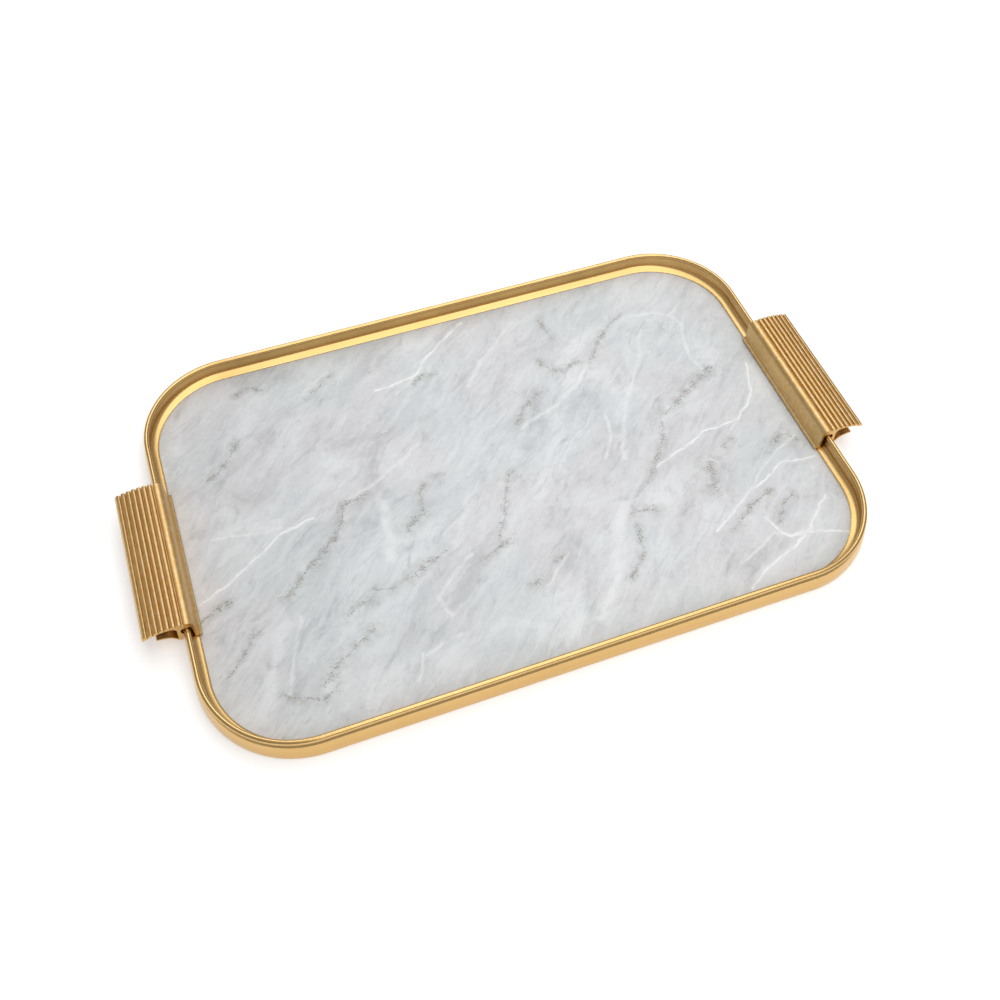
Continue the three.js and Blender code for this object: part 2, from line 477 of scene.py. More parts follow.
@dataclass
class Effects:
    """The node groups that more than one finish uses, built once."""

    grain: NodeTree = field(init=False)
    # pale outward edges: partly wear, partly a painted highlight
    wear_and_highlight: NodeTree = field(init=False)
    mottle: NodeTree = field(init=False)
    stroke: NodeTree = field(init=False)
    streaks: NodeTree = field(init=False)

    def __post_init__(self) -> None:
        """Builds the groups."""
        self.grain = self._extrusion_grain()
        self.wear_and_highlight = self._edge_wear_and_highlight()
        self.mottle = self._mottle()
        self.stroke = self._nearer_stroke()
        self.streaks = self._marble_streaks()

    def _extrusion_grain(self) -> NodeTree:
        """Fine lines that run the length of an extrusion, with a slow drift of tone.

        Returns:
            The group.
        """
        inputs = {
            "Position": ("NodeSocketVector", ZERO),
            "Lines": ("NodeSocketFloat", 3.0),
            "Run": ("NodeSocketFloat", 0.006),
        }
        outputs = {"Height": "NodeSocketFloat", "Tone": "NodeSocketFloat"}
        g, entry, leave = new_group("ExtrusionGrain", inputs, outputs)
        split = g.add("ShaderNodeSeparateXYZ", {0: entry.outputs["Position"]}).outputs
        along = g.math("MULTIPLY", split[0], entry.outputs["Run"])
        out = g.math("MULTIPLY", split[1], entry.outputs["Lines"])
        up = g.math("MULTIPLY", split[2], entry.outputs["Lines"])
        stretched = g.add("ShaderNodeCombineXYZ", {0: along, 1: out, 2: up}).outputs[0]
        fine = g.noise(stretched, 1.0, detail=3.0, roughness=0.6).outputs[0]
        slow = g.noise(g.scaled(entry.outputs["Position"], 0.02), 1.0, detail=2.0).outputs[0]
        g.feed(leave.inputs["Height"], fine)
        mixed = g.math("ADD", g.math("MULTIPLY", fine, 0.7), g.math("MULTIPLY", slow, 0.3))
        g.feed(leave.inputs["Tone"], mixed)
        return g.tree

    def _edge_wear_and_highlight(self) -> NodeTree:
        """A broken mask along outward edges: partly where handling has thinned the finish, partly a painted
        highlight that makes the edges pale.

        Returns:
            The group.
        """
        inputs = {
            "Position": ("NodeSocketVector", ZERO),
            "Edge": ("NodeSocketFloat", 0.0),
            "Patch": ("NodeSocketFloat", 0.4),
            "Amount": ("NodeSocketFloat", 0.5),
        }
        g, entry, leave = new_group("EdgeWearAndHighlight", inputs, {"Mask": "NodeSocketFloat"})
        patches = g.noise(g.scaled(entry.outputs["Position"], entry.outputs["Patch"]), 1.0).outputs[0]
        on_edges = g.math("MULTIPLY", g.remap(patches, 0.38, 0.68), entry.outputs["Edge"])
        g.feed(leave.inputs["Mask"], g.math("MULTIPLY", on_edges, entry.outputs["Amount"]))
        return g.tree

    def _mottle(self) -> NodeTree:
        """Cloudy variation at two sizes, around one half.

        Returns:
            The group.
        """
        inputs = {
            "Position": ("NodeSocketVector", ZERO),
            "Large": ("NodeSocketFloat", 0.02),
            "Small": ("NodeSocketFloat", 0.4),
        }
        g, entry, leave = new_group("Mottle", inputs, {"Value": "NodeSocketFloat"})
        place = entry.outputs["Position"]
        large = g.noise(g.scaled(place, entry.outputs["Large"]), 1.0).outputs[0]
        small = g.noise(g.scaled(place, entry.outputs["Small"]), 1.0, detail=6.0).outputs[0]
        mixed = g.math("ADD", g.math("MULTIPLY", large, 0.6), g.math("MULTIPLY", small, 0.4))
        g.feed(leave.inputs["Value"], mixed)
        return g.tree

    def _nearer_stroke(self) -> NodeTree:
        """Carries a place and, as its third number, the distance to the nearest stroke so far.

        One place in, one out, so that a long row of strokes is worked through one after another.

        Returns:
            The group.
        """
        inputs = {
            "Carry": ("NodeSocketVector", ZERO),
            "Start": ("NodeSocketVector", ZERO),
            "Span": ("NodeSocketVector", ZERO),
            "Squared": ("NodeSocketFloat", 1.0),
            "Width": ("NodeSocketFloat", 1.0),
        }
        g, entry, leave = new_group("NearerStroke", inputs, {"Carry": "NodeSocketVector"})
        flat = g.vector("MULTIPLY", entry.outputs["Carry"], FLAT)
        reach = g.vector("SUBTRACT", flat, entry.outputs["Start"])
        span = entry.outputs["Span"]
        share = g.math("DIVIDE", g.dot(reach, span), entry.outputs["Squared"], clamp=True)
        gap = g.vector("SUBTRACT", reach, g.scaled(span, share))
        length = g.add("ShaderNodeVectorMath", {0: gap}, operation="LENGTH").outputs["Value"]
        widths = g.math("DIVIDE", length, entry.outputs["Width"])
        before = g.dot(entry.outputs["Carry"], UP)
        nearest = g.add("ShaderNodeCombineXYZ", {2: g.math("MINIMUM", before, widths)}).outputs[0]
        g.feed(leave.inputs["Carry"], g.vector("ADD", flat, nearest))
        return g.tree

    def _marble_streaks(self) -> NodeTree:
        """Thin drawn-out threads: where a stretched noise crosses its middle value.

        Returns:
            The group.
        """
        inputs = {
            "Position": ("NodeSocketVector", ZERO),
            "Along": ("NodeSocketFloat", 0.02),
            "Across": ("NodeSocketFloat", 0.1),
            "Width": ("NodeSocketFloat", 0.03),
        }
        g, entry, leave = new_group("MarbleStreaks", inputs, {"Mask": "NodeSocketFloat"})
        split = g.add("ShaderNodeSeparateXYZ", {0: entry.outputs["Position"]}).outputs
        along = g.math("MULTIPLY", split[0], entry.outputs["Along"])
        across = g.math("MULTIPLY", split[1], entry.outputs["Across"])
        stretched = g.add("ShaderNodeCombineXYZ", {0: along, 1: across, 2: split[2]}).outputs[0]
        field_value = g.noise(stretched, 1.0, detail=5.0, roughness=0.5).outputs[0]
        ridge = g.math("ABSOLUTE", g.math("SUBTRACT", field_value, 0.5))
        thread = g.math("SUBTRACT", 1.0, g.math("DIVIDE", ridge, entry.outputs["Width"]), clamp=True)
        g.feed(leave.inputs["Mask"], g.math("POWER", thread, 1.5))
        return g.tree


def object_mm(graph: Graph) -> NodeSocket:
    """Object coordinates in mm."""
    return graph.scaled(graph.add("ShaderNodeTexCoord").outputs["Object"], TO_MM)


def attribute(graph: Graph, name: str) -> Node:
    """A node that reads a mesh attribute."""
    return graph.add("ShaderNodeAttribute", attribute_name=name)


# ---- Finishes -----------------------------------------------------------------------


@dataclass(frozen=True)
class AnodisedGold:
    """Gold anodised aluminium, brushed along the extrusion, its outward edges paled partly by wear and
    partly by a painted highlight.
    """

    name: str
    colour: tuple[float, float, float, float] = (0.72, 0.47, 0.19, 1.0)
    deep: tuple[float, float, float, float] = (0.67, 0.425, 0.155, 1.0)
    # pale gold for outward edges: partly wear, partly a painted highlight
    wear_and_highlight_colour: tuple[float, float, float, float] = (0.93, 0.80, 0.56, 1.0)
    roughness: float = 0.25
    lines: float = 1.8
    # how far the outward edges pale: partly wear, partly a painted highlight
    wear_and_highlight: float = 0.45
    relief: float = 0.12  # strength of the brushed lines in the surface

    def build(self, effects: Effects) -> Material:
        """The material.

        Args:
            effects: the shared node groups.

        Returns:
            The material.
        """
        material, g, shader = new_material(self.name)
        place = attribute(g, EXTRUSION).outputs["Vector"]
        edge = attribute(g, EDGE).outputs["Fac"]
        grain = g.group(effects.grain, {"Position": place, "Lines": self.lines, "Run": 0.006}).outputs
        # Outward edges turn pale gold: partly wear, partly a painted highlight.
        wear_and_highlight = g.group(effects.wear_and_highlight, {"Position": place, "Edge": edge, "Patch": 0.35, "Amount": self.wear_and_highlight})
        tone = g.blend(g.remap(grain["Tone"], 0.3, 0.7), self.deep, self.colour)
        g.feed(shader.inputs["Base Color"], g.blend(wear_and_highlight.outputs[0], tone, self.wear_and_highlight_colour))
        duller, glossier = self.roughness + 0.05, self.roughness - 0.04
        rough = g.remap(grain["Tone"], 0.25, 0.75, duller, glossier)
        g.feed(shader.inputs["Roughness"], rough)
        settings = {"Strength": self.relief, "Distance": 0.00004, "Height": grain["Height"]}
        g.feed(shader.inputs["Normal"], g.add("ShaderNodeBump", settings).outputs[0])
        shader.inputs["Metallic"].default_value = 1.0
        return material


@dataclass(frozen=True)
class Vein:
    """One line of the printed marble: its points on the tray and its half width, in mm."""

    kind: VeinKind
    width: float
    points: tuple[Point, ...]


WHITE, FAINT, DARK = VeinKind.WHITE, VeinKind.FAINT, VeinKind.DARK

VEINS = (
    # Bright veins: top middle, left, right of the middle, and the lower right corner.
    Vein(WHITE, 1.0, ((-57, 94), (-45, 95), (-35, 96), (-28, 98))),
    Vein(WHITE, 1.0, ((-28, 98), (-19, 108), (-11, 114), (5, 125), (19, 136))),
    Vein(WHITE, 1.1, ((-206, -33), (-187, -25), (-172, -15), (-162, -10), (-149, -1), (-125, 6))),
    Vein(WHITE, 0.8, ((101, -31), (116, -26), (131, -22), (141, -17), (158, -15), (171, -13))),
    Vein(WHITE, 0.9, ((171, -13), (181, -6), (191, 5), (196, 19), (200, 30))),
    Vein(WHITE, 0.8, ((116, -91), (135, -80), (151, -71), (168, -63), (181, -56), (206, -60))),
    Vein(WHITE, 1.0, ((118, -137), (135, -126), (151, -120), (168, -113), (175, -108), (196, -90))),
    Vein(WHITE, 1.0, ((150, -93), (156, -105), (161, -110), (171, -111), (185, -115), (198, -120))),
    # Faint white veins.
    Vein(FAINT, 1.2, ((-99, 12), (-79, 20), (-69, 25), (-55, 30), (-44, 39))),
    Vein(FAINT, 1.1, ((138, 99), (155, 97), (168, 90), (173, 80), (168, 65), (164, 47), (167, 37))),
    Vein(FAINT, 0.8, ((168, 90), (179, 99))),
    Vein(FAINT, 0.8, ((151, -71), (165, -58), (181, -48), (201, -40))),
    Vein(FAINT, 0.7, ((158, -24), (171, -13))),
    Vein(FAINT, 1.1, ((-84, -111), (-74, -108), (-62, -105))),
    Vein(FAINT, 1.0, ((1, -91), (10, -83), (21, -75))),
    Vein(FAINT, 1.0, ((-109, 107), (-97, 114), (-85, 122))),
    Vein(FAINT, 0.9, ((-189, 10), (-175, 9), (-162, 5), (-145, 4))),
    Vein(FAINT, 1.2, ((5, 76), (18, 92), (38, 109), (55, 122))),
    Vein(FAINT, 1.4, ((28, 28), (42, 34), (60, 40), (78, 52), (92, 66))),
    Vein(FAINT, 1.4, ((84, -18), (92, 4), (108, 32), (122, 50), (141, 82))),
    Vein(FAINT, 1.1, ((72, -15), (82, 0), (86, 20))),
    Vein(FAINT, 1.3, ((-168, -108), (-160, -88), (-150, -62))),
    Vein(FAINT, 1.0, ((-95, -125), (-87, -110))),
    Vein(FAINT, 3.6, ((22, -122), (38, -104), (52, -84), (60, -66), (68, -52))),
    Vein(FAINT, 2.8, ((-86, -40), (-82, -15), (-78, 2))),
    Vein(FAINT, 1.2, ((-62, -92), (-66, -78), (-52, -64), (-38, -55))),
    Vein(FAINT, 0.9, ((-44, 86), (-34, 92), (-22, 103))),
    Vein(FAINT, 0.8, ((120, -118), (138, -110), (151, -104), (168, -112))),
    # Dark olive threads.
    Vein(DARK, 2.4, ((-155, -45), (-142, -36), (-132, -28), (-115, -13), (-107, -1), (-104, 7), (-89, 12))),
    Vein(DARK, 1.8, ((-207, -45), (-199, -40), (-188, -37))),
    Vein(DARK, 2.2, ((-147, -110), (-135, -98), (-125, -93), (-110, -86))),
    Vein(DARK, 1.8, ((-122, -71), (-112, -65), (-106, -64))),
    Vein(DARK, 1.6, ((-102, -58), (-92, -61))),
    Vein(DARK, 1.9, ((-79, -58), (-65, -51), (-52, -48))),
    Vein(DARK, 2.6, ((-70, -22), (-56, -13))),
    Vein(DARK, 1.3, ((-56, -13), (-54, -1), (-49, 7))),
    Vein(DARK, 1.8, ((-66, 54), (-60, 57))),
    Vein(DARK, 1.6, ((-184, 55), (-172, 64), (-164, 74), (-157, 85))),
    Vein(DARK, 1.5, ((-17, -48), (-10, -36), (-5, -25), (1, -16), (8, -3))),
    Vein(DARK, 1.9, ((-9, -88), (-2, -85))),
    Vein(DARK, 1.5, ((10, -78), (19, -76))),
    Vein(DARK, 2.1, ((25, 32), (35, 44), (45, 52), (52, 55))),
    Vein(DARK, 1.5, ((60, 84), (63, 73), (71, 67), (86, 70))),
    Vein(DARK, 1.3, ((73, 120), (76, 100))),
    Vein(DARK, 1.7, ((90, -41), (98, -31), (108, -21), (116, -11), (120, -1))),
    Vein(DARK, 2.3, ((126, 6), (131, 10), (145, 19), (158, 25), (173, 36))),
    Vein(DARK, 4.6, ((137, -42), (129, -60))),
    Vein(DARK, 1.6, ((152, -32), (158, -28))),
    Vein(DARK, 1.6, ((-172, -108), (-150, -118), (-140, -112))),
    Vein(DARK, 1.4, ((-200, -88), (-178, -66), (-170, -60))),
    Vein(DARK, 1.6, ((-35, -62), (-20, -55), (-10, -52))),
    Vein(DARK, 1.5, ((-150, 122), (-140, 126), (-132, 121))),
    Vein(DARK, 1.4, ((-106, 104), (-95, 110), (-84, 118))),
    Vein(DARK, 1.5, ((-30, 92), (-22, 98), (-15, 95))),
    Vein(DARK, 1.3, ((92, 64), (105, 82), (118, 95), (136, 106))),
    Vein(DARK, 1.5, ((128, -92), (150, -80), (164, -74))),
    Vein(DARK, 1.4, ((158, -98), (166, -88), (176, -82))),
    Vein(DARK, 1.4, ((51, -105), (65, -90), (71, -71))),
    Vein(DARK, 2.8, ((72, -60), (85, -62))),
    Vein(DARK, 2.0, ((185, -40), (194, -36), (201, -43))),
)


@dataclass(frozen=True)
class MarblePrint:
    """Melamine laminate printed as pale grey marble with white veins and speckled dark threads."""

    name: str = "marble_laminate_print"
    cool: tuple[float, float, float, float] = (0.70, 0.735, 0.75, 1.0)
    lilac: tuple[float, float, float, float] = (0.735, 0.73, 0.75, 1.0)
    pale: tuple[float, float, float, float] = (0.84, 0.865, 0.88, 1.0)
    shade: tuple[float, float, float, float] = (0.44, 0.455, 0.47, 1.0)
    white: tuple[float, float, float, float] = (0.97, 0.975, 0.975, 1.0)
    stain: tuple[float, float, float, float] = (0.48, 0.475, 0.45, 1.0)
    olive: tuple[float, float, float, float] = (0.22, 0.21, 0.17, 1.0)
    lean: float = 42.0  # direction that the stone's threads run in, in degrees from +X

    def build(self, effects: Effects) -> Material:
        """The material.

        Args:
            effects: the shared node groups.

        Returns:
            The material.
        """
        material, g, shader = new_material(self.name)
        place = object_mm(g)
        warped = self._warped(g, place)
        turn = (0.0, 0.0, -math.radians(self.lean))
        drawn = g.add("ShaderNodeMapping", {"Vector": warped, "Rotation": turn}).outputs[0]
        stone = self._stone(g, effects, place, drawn)
        g.feed(shader.inputs["Base Color"], self._veins(g, effects, warped, stone))
        mottle = g.group(effects.mottle, {"Position": place, "Large": 0.05, "Small": 1.5}).outputs[0]
        g.feed(shader.inputs["Roughness"], g.remap(mottle, 0.3, 0.7, 0.36, 0.44))
        bump = g.add("ShaderNodeBump", {"Strength": 0.12, "Distance": 0.00003, "Height": mottle})
        g.feed(shader.inputs["Normal"], bump.outputs[0])
        return material

    def _warped(self, g: Graph, place: NodeSocket) -> NodeSocket:
        """Pushes places on the board about, so that no line runs straight.

        Args:
            g: the material's graph.
            place: the place on the board in mm.

        Returns:
            The pushed place.
        """
        pushed = place
        for scale, reach in ((0.035, 7.0), (0.16, 3.2), (0.8, 0.9)):
            push = g.vector("SUBTRACT", g.noise(place, scale, detail=3.0).outputs["Color"], HALF)
            pushed = g.vector("ADD", pushed, g.scaled(g.vector("MULTIPLY", push, FLAT), reach))
        return pushed

    def _stone(self, g: Graph, effects: Effects, place: NodeSocket, drawn: NodeSocket) -> NodeSocket:
        """The stone without its lines: two greys in clouds, and soft pale and dark threads.

        Args:
            g: the material's graph.
            effects: the shared node groups.
            place: the place on the board in mm.
            drawn: the same place, pushed about and turned to the stone's lean.

        Returns:
            The stone's colour.
        """
        tint = g.remap(g.noise(place, 0.011, detail=2.0).outputs[0], 0.42, 0.58)
        colour = g.blend(tint, self.cool, self.lilac)
        # Clouds, some 30 mm across and twice as long.
        soft = g.vector("MULTIPLY", drawn, (0.5, 1.0, 1.0))
        clouds = g.noise(soft, 0.03, detail=8.0, roughness=0.62, distortion=0.9).outputs[0]
        colour = g.blend(g.remap(clouds, 0.47, 0.72), colour, self.pale)
        colour = g.tinted(colour, g.remap(clouds, 0.5, 0.27), 0.6, self.shade)
        # Smudges, some 12 mm across.
        soft = g.vector("MULTIPLY", drawn, (0.38, 1.0, 1.0))
        smudge = g.noise(soft, 0.085, detail=8.0, roughness=0.68, distortion=0.7).outputs[0]
        colour = g.tinted(colour, g.remap(smudge, 0.52, 0.72), 0.6, self.shade)
        colour = g.tinted(colour, g.remap(smudge, 0.46, 0.3), 0.45, self.pale)
        # Fine grain.
        grain = g.noise(place, 0.3, detail=5.0, roughness=0.7).outputs[0]
        colour = g.tinted(colour, g.remap(grain, 0.5, 0.8), 0.3, self.pale)
        colour = g.tinted(colour, g.remap(grain, 0.5, 0.2), 0.3, self.shade)
        # Long pale threads and finer dark ones.
        settings = {"Position": drawn, "Along": 0.012, "Across": 0.06, "Width": 0.035}
        colour = g.tinted(colour, g.group(effects.streaks, settings).outputs[0], 0.4, self.pale)
        settings = {"Position": drawn, "Along": 0.02, "Across": 0.11, "Width": 0.022}
        return g.tinted(colour, g.group(effects.streaks, settings).outputs[0], 0.22, self.shade)

    def _nearest(self, g: Graph, effects: Effects, point: NodeSocket, kind: VeinKind) -> NodeSocket:
        """The distance to the nearest line of one kind.

        Args:
            g: the material's graph.
            effects: the shared node groups.
            point: the place on the board in mm, with no height.
            kind: the kind of line.

        Returns:
            The distance, in half widths of the line.
        """
        carry = g.vector("ADD", point, (0.0, 0.0, FAR))
        for vein in (v for v in VEINS if v.kind is kind):
            for start, end in zip(vein.points, vein.points[1:]):
                span = Vector((*end, 0.0)) - Vector((*start, 0.0))
                inputs = {"Carry": carry, "Start": (*start, 0.0), "Span": span}
                inputs.update({"Squared": span.length_squared, "Width": vein.width})
                carry = g.group(effects.stroke, inputs).outputs[0]
        return g.dot(carry, UP)

    def _veins(self, g: Graph, effects: Effects, warped: NodeSocket, stone: NodeSocket) -> NodeSocket:
        """The stone with its lines on top.

        Args:
            g: the material's graph.
            effects: the shared node groups.
            warped: the place on the board, pushed about.
            stone: the stone's colour.

        Returns:
            The finished print's colour.
        """
        point = g.vector("MULTIPLY", warped, FLAT)
        speckle = g.noise(point, 0.85, detail=5.0, roughness=0.7).outputs[0]
        lumps = g.noise(point, 0.12, detail=3.0).outputs[0]
        # Dark threads: a stain round each, then speckles that crowd towards its middle.
        ragged = g.noise(point, 0.33, detail=4.0, roughness=0.7).outputs["Color"]
        jitter = g.vector("MULTIPLY", g.vector("SUBTRACT", ragged, HALF), (5.0, 5.0, 0.0))
        dark = self._nearest(g, effects, g.vector("ADD", point, jitter), DARK)
        halo = g.math("MULTIPLY", g.remap(dark, 4.5, 0.0), g.remap(lumps, 0.3, 0.65))
        colour = g.tinted(stone, halo, 0.5, self.stain)
        spread = g.remap(lumps, 0.36, 0.62, 0.11, 0.055)
        grit = g.math("SUBTRACT", speckle, g.math("MULTIPLY", dark, spread))
        core = g.math("MULTIPLY", g.remap(grit, 0.43, 0.60), g.remap(lumps, 0.36, 0.6))
        thread = g.math("MULTIPLY", g.remap(dark, 0.5, 0.1), g.remap(speckle, 0.42, 0.65))
        colour = g.tinted(colour, g.math("MAXIMUM", core, thread), 0.88, self.olive)
        # White veins, each coming and going along its run.
        fade = g.remap(lumps, 0.3, 0.6, 0.35, 1.0)
        faint = g.math("MULTIPLY", g.remap(self._nearest(g, effects, point, FAINT), 1.9, 0.1), fade)
        colour = g.tinted(colour, faint, 0.5, self.white)
        white = self._nearest(g, effects, point, WHITE)
        colour = g.tinted(colour, g.remap(white, 5.0, 0.5), 0.25, self.pale)
        crisp = g.math("MULTIPLY", g.remap(white, 1.25, 0.3), fade)
        return g.blend(crisp, colour, self.white)


@dataclass(frozen=True)
class Hardboard:
    """Pressed brown fibre board."""

    name: str = "hardboard_core"
    light: tuple[float, float, float, float] = (0.30, 0.19, 0.11, 1.0)
    dark: tuple[float, float, float, float] = (0.16, 0.095, 0.05, 1.0)

    def build(self, effects: Effects) -> Material:
        """The material.

        Args:
            effects: the shared node groups.

        Returns:
            The material.
        """
        material, g, shader = new_material(self.name)
        place = object_mm(g)
        mottle = g.group(effects.mottle, {"Position": place, "Large": 0.06, "Small": 1.1}).outputs[0]
        fibres = g.noise(g.vector("MULTIPLY", place, (0.5, 3.0, 3.0)), 1.0, detail=5.0).outputs[0]
        tone = g.math("MULTIPLY", g.math("ADD", mottle, fibres), 0.5)
        g.feed(shader.inputs["Base Color"], g.blend(g.remap(tone, 0.38, 0.62), self.dark, self.light))
        g.feed(shader.inputs["Roughness"], g.remap(tone, 0.3, 0.7, 0.78, 0.92))
        bump = g.add("ShaderNodeBump", {"Strength": 0.4, "Distance": 0.0001, "Height": fibres})
        g.feed(shader.inputs["Normal"], bump.outputs[0])
        return material


@dataclass(frozen=True)
class BackingLaminate:
    """Plain off-white balancing sheet with a fine pressed texture."""

    name: str = "backing_laminate_sheet"
    clean: tuple[float, float, float, float] = (0.76, 0.74, 0.70, 1.0)
    dull: tuple[float, float, float, float] = (0.67, 0.65, 0.60, 1.0)

    def build(self, effects: Effects) -> Material:
        """The material.

        Args:
            effects: the shared node groups.

        Returns:
            The material.
        """
        material, g, shader = new_material(self.name)
        place = object_mm(g)
        mottle = g.group(effects.mottle, {"Position": place, "Large": 0.02, "Small": 0.7}).outputs[0]
        g.feed(shader.inputs["Base Color"], g.blend(g.remap(mottle, 0.35, 0.65), self.dull, self.clean))
        g.feed(shader.inputs["Roughness"], g.remap(mottle, 0.3, 0.7, 0.46, 0.58))
        cells = g.add("ShaderNodeTexVoronoi", {"Vector": place, "Scale": 1.1}, feature="SMOOTH_F1")
        settings = {"Strength": 0.3, "Distance": 0.00006, "Height": cells.outputs["Distance"]}
        g.feed(shader.inputs["Normal"], g.add("ShaderNodeBump", settings).outputs[0])
        return material


@dataclass(frozen=True)
class ZincPlate:
    """Zinc plated steel strip with a faint spangle."""

    name: str = "zinc_plated_strip"
    bright: tuple[float, float, float, float] = (0.62, 0.62, 0.63, 1.0)
    dull: tuple[float, float, float, float] = (0.46, 0.46, 0.48, 1.0)

    def build(self, effects: Effects) -> Material:
        """The material.

        Args:
            effects: the shared node groups.

        Returns:
            The material.
        """
        material, g, shader = new_material(self.name)
        place = object_mm(g)
        spangle = g.add("ShaderNodeTexVoronoi", {"Vector": place, "Scale": 0.5}).outputs["Color"]
        mottle = g.group(effects.mottle, {"Position": place, "Large": 0.1, "Small": 2.0}).outputs[0]
        level = g.math("MULTIPLY", g.math("ADD", spangle, mottle), 0.5)
        g.feed(shader.inputs["Base Color"], g.blend(g.remap(level, 0.3, 0.7), self.dull, self.bright))
        g.feed(shader.inputs["Roughness"], g.remap(level, 0.3, 0.7, 0.46, 0.34))
        shader.inputs["Metallic"].default_value = 1.0
        return material


# ---- Sub-assemblies -----------------------------------------------------------------


@dataclass
class SightEdge:
    """The rounded rectangle where the rim's lip ends on the board, which every section starts from."""

    half_length: float = 208.8
    half_width: float = 139.4
    corner: float = 53.4

    def unroll(self, place: Vector) -> Vector:
        """Turns a place on the rim into along, out and up.

        Args:
            place: the place in mm.

        Returns:
            How far along the rim, out from the sight edge and up it is, in mm.
        """
        bend_x = self.half_length - self.corner
        bend_y = self.half_width - self.corner
        x, y = abs(place.x), abs(place.y)
        quarter = self.corner * math.pi / 2
        if y <= bend_y:
            along, out = y, x - self.half_length
        elif x <= bend_x:
            along, out = bend_y + quarter + bend_x - x, y - self.half_width
        else:
            angle = math.atan2(y - bend_y, x - bend_x)
            along, out = bend_y + self.corner * angle, math.hypot(x - bend_x, y - bend_y) - self.corner
        return Vector((math.copysign(along, place.x * place.y), out, place.z))


@dataclass
class Board:
    """The laminated board: backing, hardboard core and the marble print, from the bottom up."""

    sight: SightEdge
    effects: Effects
    top: float = 4.0
    sheet: float = 0.55
    core: float = 2.0
    tuck: float = 6.4  # how far the board runs past the sight edge, into the rim's slot
    corner_segments: int = 40
    ease: float = 0.08

    def build(self) -> None:
        """Builds the three layers."""
        layers = (
            ("backing_sheet", "backing_laminate", Slot.BACKING, BackingLaminate(), self.sheet),
            ("hardboard_panel", "board_core", Slot.CORE, Hardboard(), self.core),
            ("marble_sheet", "marble_laminate", Slot.MARBLE, MarblePrint(), self.sheet),
        )
        length = 2 * (self.sight.half_length + self.tuck)
        width = 2 * (self.sight.half_width + self.tuck)
        corner = self.sight.corner + self.tuck
        bottom = self.top - self.core - 2 * self.sheet
        for name, node, slot, finish, thickness in layers:
            size = Vector((length, width, thickness))
            centre = Vector((0.0, 0.0, bottom + thickness / 2))
            bm = rounded_plate(size, centre, corner, self.corner_segments, self.ease)
            make_piece(bm, name, node, slot, finish.build(self.effects))
            bottom += thickness


